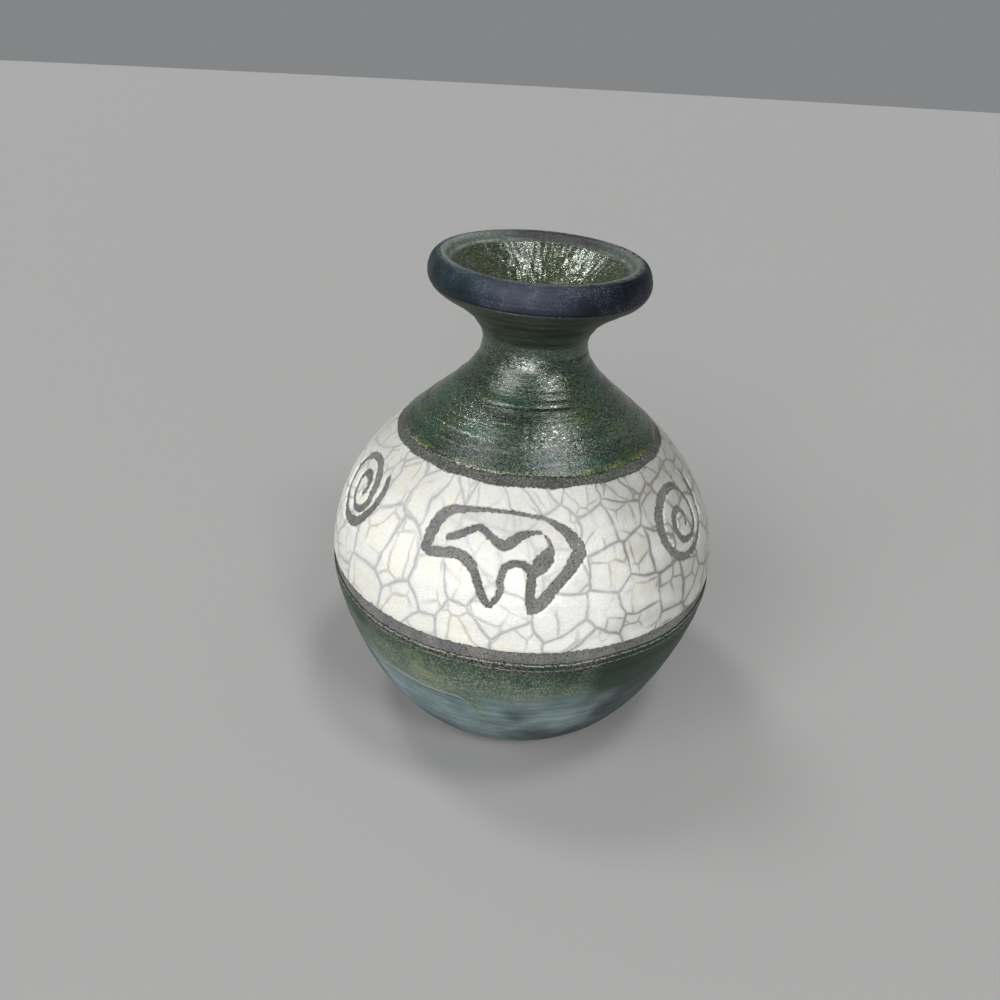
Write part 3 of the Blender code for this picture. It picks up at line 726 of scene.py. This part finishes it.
def white_sheets():
    """Points, faces and attributes of each island's closed shell, from one grid over the white coat.

    A cell is kept where its middle is glazed. Vertices on the border of the kept cells move along the
    distance's slope onto the stroke's edge, and the front and the buried back share them.
    """
    turn = np.linspace(0, FULL_TURN, SHEET_COLUMNS, endpoint=False)[None, :]
    length = np.linspace(WHITE_LOW - SHEET_MARGIN, WHITE_HIGH + SHEET_MARGIN, SHEET_ROWS + 1)[:, None]
    length, turn = np.broadcast_arrays(length, turn)
    clear, island = white_fields(length, turn)
    beside = np.roll(clear, -1, axis=1)
    middle = (clear[:-1] + clear[1:] + beside[:-1] + beside[1:]) / 4
    rise = np.gradient(clear, length[:, 0], axis=0)
    radius = along_wall(WALL_LINE[:, 0], length)
    two_columns = 2 * FULL_TURN / SHEET_COLUMNS * radius
    swing = (np.roll(clear, -1, axis=1) - np.roll(clear, 1, axis=1)) / two_columns
    slope = np.maximum(rise**2 + swing**2, LEAST_SLOPE**2)
    snapped_length = length - clear * rise / slope
    snapped_turn = turn - clear * swing / slope / radius
    blocks = (SHEET_ROWS // BLOCK, BLOCK, SHEET_COLUMNS // BLOCK, BLOCK)
    plain = middle.reshape(blocks).min(axis=(1, 3)) > FINE_REACH
    count = clear.size
    found = []
    for number in range(len(BEARS) + 1):
        kept, border = firm_cells((middle > 0) & (island[:-1] == number))
        place_length = np.where(border, snapped_length, length)
        place_turn = np.where(border, snapped_turn, turn)
        edge = np.where(border, 0, np.maximum(clear, THINNEST))
        marks = throwing_marks(place_length, place_turn) + 0.03 * MM * waves(length, turn, 5 * MM, 20, 6)
        front = on_wall(place_length, place_turn, lip(edge / RAGGED_LIP) + marks)
        back = on_wall(place_length, place_turn, -GLAZE_SUNK + marks)
        whole = kept.reshape(blocks).all(axis=(1, 3))
        faces = block_faces(kept, whole & plain)
        behind = np.where(border.ravel(), np.arange(count), np.arange(count) + count)
        faces += [behind[face[::-1]].tolist() for face in block_faces(kept, whole)]
        used = np.unique(np.concatenate([np.array(face) for face in faces]))
        compact = np.zeros(2 * count, int)
        compact[used] = np.arange(len(used))
        points = np.concatenate([front.reshape(-1, 3), back.reshape(-1, 3)])[used]
        from_line = np.concatenate([np.minimum(edge, EDGE_REACH).ravel() / MM, np.zeros(count)])[used]
        up = np.tile((place_length - WHITE_LOW).ravel(), 2)[used]
        attributes = {"from_line": from_line, "up": up, "inside_bear": np.full(len(used), number > 0)}
        found.append((points, [compact[face].tolist() for face in faces], attributes))
    return found


# Cells of the main cracks and of their branches, in millimetres
CRACKLE_SIZES = (10.5, 7.0)
CRACKLE_RADIUS = 0.052
WHITE, CREAM = (0.712, 0.722, 0.708), (0.730, 0.716, 0.640)
CRACK_GREY = (0.20, 0.19, 0.165)
EDGE_GREY = (0.14, 0.14, 0.138)


def crackle_net(finish):
    """Distances in mm from the main cracks and the branches, on the wall unrolled into a plane.

    Each cell of a size takes the next size's cracks from another part of the pattern, so they end on its
    own. The plane's seam runs down the back, where it is a crack too.
    """
    place = finish.moved(finish.moved(finish.place, 16 * MM, 7 * MM), 2.4 * MM, 0.9 * MM)
    turn = finish.turn(place)
    tall = 1 - 0.35 * turn.hump(-0.5, 0.8)
    up = finish.attribute("up") + finish.noise(13 * MM, 1) * 5 * MM
    flat = finish.add("ShaderNodeCombineXYZ", {}, {"X": turn * CRACKLE_RADIUS, "Y": up * tall, "Z": 0.0})
    distances = []
    for size in CRACKLE_SIZES:
        inputs = {"Vector": flat, "Scale": 1 / (size * MM), "Randomness": 0.8}
        walls = {"voronoi_dimensions": "2D", "feature": "DISTANCE_TO_EDGE"}
        distances.append(finish.add("ShaderNodeTexVoronoi", walls, inputs, "Distance") * size)
        cell = finish.add("ShaderNodeTexVoronoi", {"voronoi_dimensions": "2D"}, inputs, "Color")
        flat = finish.vector("ADD", flat, finish.shade(cell, 0.5))
    seam = (np.pi - turn.maths("ABSOLUTE", turn)) * (CRACKLE_RADIUS / MM)
    return distances[0].least(seam), distances[1], cell


def white_crackle():
    """White glaze with a soft grey net of cracks and smoke haze beside them, creamy patches, and painted
    shade on the right and towards the shoulder.
    """
    finish = Finish("white_crackle", Roughness=0.30)
    main, branch, cell = crackle_net(finish)
    line, inside_bear = finish.attribute("from_line"), finish.attribute("inside_bear")
    patchy, wispy = finish.noise(9 * MM, 2), finish.noise(2.5 * MM, 2)
    peel, grain = finish.noise(0.7 * MM, 2), finish.noise(0.35 * MM, 2)
    crumbs = finish.noise(0.45 * MM, 2)

    # How far the cracks, the smoke haze beside them and painted shade on the right darken the glaze
    width = 0.45 + 1.1 * wispy
    crack = (main / width).rise(0.72, 0.02) * patchy.rise(0.05, 0.50) * wispy.rise(0.05, 0.45)
    crack = crack.most((branch / width).rise(0.58, 0.02) * patchy.rise(0.38, 0.56) * 0.75)
    crack = crack * (1 - 0.5 * inside_bear)
    # Cracks hold smoke, and painted shade makes them darker on the right
    smoke_and_painted_shade = 0.52 + 0.08 * finish.side(80).rise(0.1, 0.85)
    haze_and_painted_shade = main.rise(2.2, 0.1) * 0.07 + branch.rise(1.6, 0.1) * 0.03
    # Painted shade darkening the right side of the white
    haze_and_painted_shade = haze_and_painted_shade + (finish.side(85) + 0.8 * (patchy - 0.5)).rise(0.4, 1.0) * 0.52

    # The white itself, darkened towards the shoulder by painted shade, and a little different from cell
    # to cell
    cream = (finish.noise(15 * MM, 2) + 0.2 * finish.side(-60).rise(0, 1)).rise(0.40, 0.70)
    colour = finish.mix(cream * main.rise(0.3, 2.6), WHITE, CREAM)
    # Painted shade: the white darker towards the shoulder
    upper = finish.attribute("up").rise(0.020, 0.040)
    colour = finish.shade(colour, 1 - 0.26 * upper - 0.11 * inside_bear)
    tint = finish.add("ShaderNodeSeparateColor", {}, {0: cell}, "Red")
    colour = finish.shade(colour, 0.96 + 0.06 * tint)
    colour = finish.shade(colour, 0.77 + 0.22 * peel + 0.24 * grain)
    colour = finish.mix((haze_and_painted_shade + crack * smoke_and_painted_shade).least(1), colour, CRACK_GREY)
    dirty = (line + 0.4 * (crumbs - 0.5)).rise(0.20, 0.02)
    colour = finish.mix(dirty, colour, EDGE_GREY)
    normal = finish.bump(peel + 0.5 * grain - 0.3 * crack, 0.13 * MM)
    return finish.done(Base_Color=colour, Normal=normal)


crackle = white_crackle()
sheets = white_sheets()
names = ["crackle_glaze"] + ["bear_glaze_" + place for place in BEARS]
for name, (points, faces, edges) in zip(names, sheets):
    make_piece(name + "_white", points, faces, crackle, [name], edges)


# Neck glaze. The same copper lustre, thicker, from the upper bare line over the shoulder and the neck
# to the underside of the rim. It came out metallic, dark green, and crystallised: the light breaks
# into sparks on it.
UPPER_LINE = 0.0026
BLUE_LOW = length_at(RIM_WIDEST_HEIGHT - 0.0020)
MEETING_LIP = 0.0005
MEETING_OVERLAP = 0.0002
SHOULDER_GREENS = (0.006, 0.030, 0.015), (0.015, 0.033, 0.006)
NECK_GREEN = (0.003, 0.018, 0.009)
# Streaked greens under the rim, partly darkened as painted shade
UNDER_RIM = (0.004, 0.014, 0.006), (0.020, 0.029, 0.013)
OLIVE_SPECKS = (0.050, 0.065, 0.025)
YELLOW_FRINGE = (0.150, 0.175, 0.062)
# Painted highlight along the glaze's edge at the bare line, on the left
EDGE_HIGHLIGHT = (0.30, 0.31, 0.28)
BLUE_PATCH = (0.022, 0.036, 0.075)
GREEN_FLAKES = (0.28, 0.33, 0.29)


def sparkling(finish, size, spread, relief):
    """Normal that tilts from crystal to crystal, and a random number for each crystal."""
    drawn_out = finish.add("ShaderNodeMapping", {}, {"Vector": finish.place, "Scale": (0.32, 0.32, 1)})
    place = finish.moved(drawn_out, 0.8 * MM, 0.7 * MM)
    crystal = finish.add("ShaderNodeTexVoronoi", {}, {"Vector": place, "Scale": 1 / size}, "Color")
    tilt = finish.shade(finish.vector("SUBTRACT", crystal, (0.5, 0.5, 0.5)), spread)
    normal = finish.vector("NORMALIZE", finish.vector("ADD", relief, tilt))
    return normal, finish.add("ShaderNodeSeparateColor", {}, {0: crystal}, "Blue")


def green_lustre():
    """Dark green glaze with crystals like flakes of bright metal, and a yellow fringe at the line."""
    finish = Finish("green_lustre", IOR=1.75)
    turn = finish.turn()
    from_low, from_high = finish.attribute("from_low"), finish.attribute("from_high")
    streaks = finish.streaks(1.4 * MM)
    cloud = finish.noise(12 * MM, 3)
    grain, specks = finish.noise(0.45 * MM, 3), finish.noise(0.65 * MM, 2)
    high = finish.height / MM + 2 * (cloud - 0.5)

    # Greens of the shoulder, the neck and the underside of the rim, the last partly darkened as painted
    # shade
    colour = finish.mix(cloud.rise(0.38, 0.62), *SHOULDER_GREENS)
    colour = finish.mix(high.rise(106, 112) * 0.7, colour, NECK_GREEN)
    under_rim = finish.mix(streaks.rise(0.4, 0.6), *UNDER_RIM)
    colour = finish.mix(high.rise(117, 121), colour, under_rim)
    colour = finish.mix(specks.rise(0.54, 0.70) * 0.35, colour, OLIVE_SPECKS)

    # Along the bare line, a yellow fringe, a painted highlight on the edge on the left and a blue patch
    # on the right
    fringe = (from_low + 4 * (grain - 0.5)).rise(2.6, 0.4) * finish.noise(5 * MM, 2).rise(0.35, 0.55)
    colour = finish.mix(fringe * specks.rise(0.42, 0.52), colour, YELLOW_FRINGE)
    edge_highlight = from_low.rise(0.8, 0.3) * specks.rise(0.44, 0.54) * finish.side(-45).rise(0.2, 0.8)
    colour = finish.mix(edge_highlight, colour, EDGE_HIGHLIGHT)
    blue_patch = turn.hump(0.22, 0.16) * (from_low + 1.5 * (cloud - 0.5)).hump(3.4, 2.0)
    colour = finish.mix(blue_patch * 0.5, colour, BLUE_PATCH)

    # Grain and streaks, painted shade in the crease under the rim, and darker towards the bare line
    colour = finish.shade(colour, 0.10 + 1.8 * grain.rise(0.30, 0.70))
    colour = finish.shade(colour, 0.35 + 1.3 * streaks.rise(0.25, 0.75))
    colour = finish.shade(colour, 0.3 + 0.7 * from_high.rise(0.3, 1.2))
    colour = finish.shade(colour, 0.60 + 0.40 * from_low.rise(1, 6))

    # Crystals, fewer towards the line and none under the rim
    relief = finish.bump(0.8 * grain + streaks + 0.6 * finish.streaks(0.5 * MM), 0.12 * MM)
    normal, spark = sparkling(finish, 0.14 * MM, 0.18, relief)
    bright = spark.rise(0.72, 0.98) * (0.15 + 0.85 * from_low.rise(1, 12)) * high.rise(118, 112)
    colour = finish.mix(bright, colour, GREEN_FLAKES)
    rough = 0.17 + 0.12 * grain + 0.3 * high.rise(112, 120)
    return finish.done(Base_Color=colour, Metallic=bright * 0.9, Roughness=rough, Normal=normal)


NECK_STEP = 0.36 * MM
NECK_COLUMNS = 420
ends, lips = (WHITE_HIGH + UPPER_LINE, BLUE_LOW + MEETING_OVERLAP), (RAGGED_LIP, MEETING_LIP)
wander = ragged(0.15 * MM, 0.16 * MM, 41), ragged(0.1 * MM, 0.05 * MM, 43)
points, faces, edges = coat_shell(ends, lips, wander, NECK_STEP, NECK_COLUMNS)
make_piece("neck_glaze_lustre", points, faces, green_lustre(), ["neck_glaze"], edges)


# Rim glaze. A blue slip glaze over the rim's outer roll, satin, darkened by painted shade on the right
# and along its lower edge, and rubbed pale along the roll's top where hands and shelves touched it.
RIM_BLUES = (0.012, 0.026, 0.034), (0.033, 0.039, 0.056)
# Painted shade for the right side of the rim
RIGHT_SHADE_BLUE = (0.003, 0.006, 0.012)
SCUFF_BLUE = (0.15, 0.17, 0.20)
WORN_GREY = (0.17, 0.18, 0.17)


def blue_lustre():
    """Satin blue in two shades round the rim and painted shade on the right, with scuffs, a worn upper
    edge and painted shade along its lower edge.
    """
    finish = Finish("blue_lustre", Metallic=0.3, Specular_IOR_Level=0.2)
    cloud = finish.noise(7 * MM, 3)
    grain = finish.noise(0.5 * MM, 3)
    scuffs = finish.noise(0.3 * MM, 2)
    colour = finish.mix(finish.side(-60).rise(0.95, 0.55), *RIM_BLUES)
    # Painted shade darkens the right side
    colour = finish.mix(finish.side(75).rise(0.35, 0.90), colour, RIGHT_SHADE_BLUE)
    colour = finish.shade(colour, 0.5 + 1.0 * cloud)
    colour = finish.shade(colour, 0.3 + 1.4 * grain)
    scuffed = scuffs.rise(0.50, 0.70) * cloud.rise(0.42, 0.62)
    colour = finish.mix(scuffed * 0.6, colour, SCUFF_BLUE)
    crumbs = finish.noise(1.0 * MM, 3).rise(0.38, 0.56)
    worn = (finish.attribute("from_high") + 0.8 * (cloud - 0.5)).rise(1.5, 0.3) * crumbs
    colour = finish.mix(worn * 0.8, colour, WORN_GREY)
    # Painted shade in the crease under the rim, where the neck glaze meets it
    colour = finish.shade(colour, 0.3 + 0.7 * finish.attribute("from_low").rise(0.3, 1.2))
    normal = finish.bump(grain, 0.12 * MM)
    return finish.done(Base_Color=colour, Roughness=0.40 + 0.15 * grain, Normal=normal)


RIM_STEP = 0.3 * MM
RIM_COLUMNS = 400
ends, lips = (BLUE_LOW - MEETING_OVERLAP, CREST_LENGTH + MEETING_OVERLAP), (MEETING_LIP, MEETING_LIP)
wander = ragged(0.1 * MM, 0.03 * MM, 51), ragged(0.1 * MM, 0.06 * MM, 53)
points, faces, edges = coat_shell(ends, lips, wander, RIM_STEP, RIM_COLUMNS)
make_piece("rim_glaze_blue", points, faces, blue_lustre(), ["rim_glaze"], edges)


# Lining glaze. Poured in and turned out again: an olive lustre that covers the top of the rim, the
# funnel of the mouth and the whole hollow. It sparkles like the neck, but not on the rim's worn top.
RIM_TOP = 0.0036
LINING_START = CREST_LENGTH - MEETING_OVERLAP
FUNNEL_LENGTH = 0.030
FUNNEL_STEP = 0.4 * MM
HOLLOW_STEP = 1.5 * MM
MARKED_LENGTH = 0.1
LINING_OLIVES = (0.011, 0.022, 0.005), (0.021, 0.029, 0.007)
TOP_GREYS = (0.013, 0.021, 0.016), (0.046, 0.056, 0.049)
WORN_GRAINS = (0.20, 0.21, 0.20)
PALE_LIP = (0.19, 0.21, 0.18)
OLIVE_FLAKES = (0.29, 0.335, 0.27)
LINING_BACK_ROWS = 59
LINING_COLUMNS = 360


def olive_lustre():
    """Worn satin on the rim's top, with painted light on its sides and painted shade at its back, and
    olive glaze with bright metal flakes inside it.
    """
    finish = Finish("olive_lustre", IOR=1.55)
    cloud, lumps = finish.noise(9 * MM, 3), finish.noise(4 * MM, 2)
    grain = finish.noise(0.5 * MM, 3)
    from_low = finish.attribute("from_low")
    rim_top = RIM_TOP / MM
    inside = (from_low + 0.8 * (cloud - 0.5)).rise(rim_top, rim_top + 1.2)

    # The rim's top: paler on the left and the right, partly rubbed and partly painted light, and darkened
    # at the back by painted shade
    top = finish.mix(finish.streaks(0.8 * MM), *TOP_GREYS)
    worn_and_lit = 1.6 * finish.side(-95).rise(0.3, 0.9) + finish.side(85).rise(0.3, 0.9)
    top = finish.shade(top, 0.9 + 1.6 * worn_and_lit - 0.8 * finish.side(170).rise(0.3, 0.9))
    worn_grains = finish.noise(0.45 * MM, 2).rise(0.50, 0.66) * (0.15 + 0.5 * worn_and_lit)
    top = finish.mix(worn_grains, top, WORN_GRAINS)

    # The glaze inside, and the pale lip between the two
    colour = finish.mix(cloud.rise(0.38, 0.62), *LINING_OLIVES)
    colour = finish.mix(inside, top, colour)
    colour = finish.shade(colour, 0.45 + 1.1 * grain)
    pale_lip = from_low.hump(rim_top, 0.5) * finish.noise(3 * MM, 2).rise(0.4, 0.6)
    colour = finish.mix(pale_lip * (0.15 + 0.6 * worn_and_lit), colour, PALE_LIP)

    relief = finish.bump(0.4 * grain + lumps, 0.16 * MM)
    normal, spark = sparkling(finish, 0.14 * MM, 0.06 + 0.12 * inside, relief)
    bright = spark.rise(0.66, 0.98) * inside
    colour = finish.mix(bright, colour, OLIVE_FLAKES)
    rough = 0.58 - 0.36 * inside
    return finish.done(Base_Color=colour, Metallic=bright * 0.9, Roughness=rough, Normal=normal)


def lining_shell(columns):
    """Closed shell of the lining: front rows from the rim's crest to the axis, buried rows back to it."""
    turn = np.linspace(0, FULL_TURN, columns, endpoint=False)[None, :]
    funnel = np.arange(MEETING_LIP, FUNNEL_LENGTH, FUNNEL_STEP)
    hollow = np.arange(FUNNEL_LENGTH, WALL_END - LINING_START - MM, HOLLOW_STEP)
    rows = [MEETING_LIP * LIP_STEPS, funnel, hollow, [WALL_END - LINING_START]]
    from_low = np.concatenate(rows)[:, None]
    wander = 0.1 * MM * waves(0, turn, 30 * MM, 6, 61) * (from_low < FUNNEL_LENGTH)
    length = np.minimum(LINING_START + from_low + wander, WALL_END)
    marks = 0.04 * MM * waves(length, turn, 6 * MM, 20, 62) * (from_low < MARKED_LENGTH)
    front = on_wall(length, turn, lip(from_low / MEETING_LIP) + marks)
    back_length = np.linspace(WALL_END, LINING_START, LINING_BACK_ROWS + 1)[:-1, None]
    back = on_wall(back_length, turn, -BURIED)
    points = np.concatenate([front, back])
    distance = np.broadcast_to(from_low, front.shape[:2]).ravel() / MM
    distance = np.concatenate([distance, np.zeros(back[..., 0].size)])
    points = points.reshape(-1, 3)
    poles = [len(front) - 1, len(front)]
    used, faces = close_pole(points, grid_faces(len(front) + len(back), columns, True), columns, poles)
    return points[used], faces, {"from_low": distance[used]}


points, faces, edges = lining_shell(LINING_COLUMNS)
make_piece("lining_glaze_olive", points, faces, olive_lustre(), ["lining_glaze"], edges)


# Studio. A plain pale floor that runs out to the horizon, far soft lamps low in front, high at the sides
# and overhead, and a sky that dims upwards and towards the camera. The camera has a short lens and
# stands a little above the vase, as the photograph was taken.
CAMERA_DISTANCE = 0.2044
CAMERA_HEIGHT = 0.1781
CAMERA_TURN = np.radians(5.7)
CAMERA_PAN = np.radians(-2.06)
CAMERA_PITCH = np.radians(29.55)
CAMERA_ROLL = np.radians(3.07)
CAMERA_LENS = 27.27
SENSOR_WIDTH = 36
FLOOR_REACH = 12
FLOOR_SIDES = 64
FLOOR_COLOUR = (0.33, 0.33, 0.325, 1)
SKY_LEVEL = (0.23, 0.235, 0.24, 1)
SKY_ABOVE = (0.11, 0.11, 0.11, 1)
SKY_DIMS_TOWARDS = (0.2, -0.7, 0.9)


def faced(sight, level, place):
    """Matrix of a camera or a lamp at a place: it looks along sight, with its right side along level."""
    matrix = np.eye(4)
    matrix[:3] = np.stack([level, np.cross(level, sight), -sight, place], axis=1)
    return Matrix(matrix.tolist())


heading = CAMERA_TURN - CAMERA_PAN
sight = -direction(heading, CAMERA_PITCH)
level = direction(heading + np.pi / 2, 0)
rolled = np.cos(CAMERA_ROLL) * level + np.sin(CAMERA_ROLL) * np.cross(level, sight)
place = CAMERA_DISTANCE * direction(CAMERA_TURN, 0) + [0, 0, CAMERA_HEIGHT]
camera = bpy.data.objects.new("camera", bpy.data.cameras.new("camera"))
camera.data.lens = CAMERA_LENS
camera.data.sensor_width = SENSOR_WIDTH
camera.data.clip_start = 0.01
camera.matrix_world = faced(sight, rolled, place)
bpy.context.scene.collection.objects.link(camera)
bpy.context.scene.camera = camera


def lamp(name, degrees, elevation, spread, strength):
    """Far lamp at a turn and an elevation, as wide in the sky as its spread in degrees."""
    light = bpy.data.lights.new(name, "SUN")
    light.angle = np.radians(spread)
    light.energy = strength
    made = bpy.data.objects.new(name, light)
    turn, climb = np.radians(degrees), np.radians(elevation)
    made.matrix_world = faced(-direction(turn, climb), direction(turn + np.pi / 2, 0), np.zeros(3))
    bpy.context.scene.collection.objects.link(made)


lamp("lamp_front_left", -38, 34, 30, 0.86)
lamp("lamp_front_middle", -18, 20, 20, 0.72)
lamp("lamp_front", 2, 18, 28, 1.10)
lamp("lamp_left", -54, 50, 14, 0.34)
lamp("lamp_right", 46, 48, 16, 0.78)
lamp("lamp_above", 82, 76, 12, 0.74)
lamp("lamp_behind", -118, 62, 12, 0.70)

world = bpy.data.worlds.new("pale_sky")
world.use_nodes = True
sky = world.node_tree
dimming = sky.nodes.new("ShaderNodeVectorMath")
dimming.operation = "DOT_PRODUCT"
dimming.inputs[1].default_value = SKY_DIMS_TOWARDS
shading = sky.nodes.new("ShaderNodeMix")
shading.data_type = "RGBA"
shading.inputs[6].default_value = SKY_LEVEL
shading.inputs[7].default_value = SKY_ABOVE
sky.links.new(sky.nodes.new("ShaderNodeTexCoord").outputs["Generated"], dimming.inputs[0])
sky.links.new(dimming.outputs["Value"], shading.inputs[0])
sky.links.new(shading.outputs[2], sky.nodes["Background"].inputs["Color"])
bpy.context.scene.world = world

round_floor = np.linspace(0, FULL_TURN, FLOOR_SIDES, endpoint=False)
floor_mesh = bpy.data.meshes.new("floor")
floor_mesh.from_pydata(spun(FLOOR_REACH, 0, -round_floor), [], [list(range(FLOOR_SIDES))])
floor_mesh.materials.append(Finish("pale_floor", Roughness=0.7).done(Base_Color=FLOOR_COLOUR))
floor = bpy.data.objects.new("floor", floor_mesh)
bpy.context.scene.collection.objects.link(floor)

bpy.context.scene.view_settings.view_transform = "Standard"
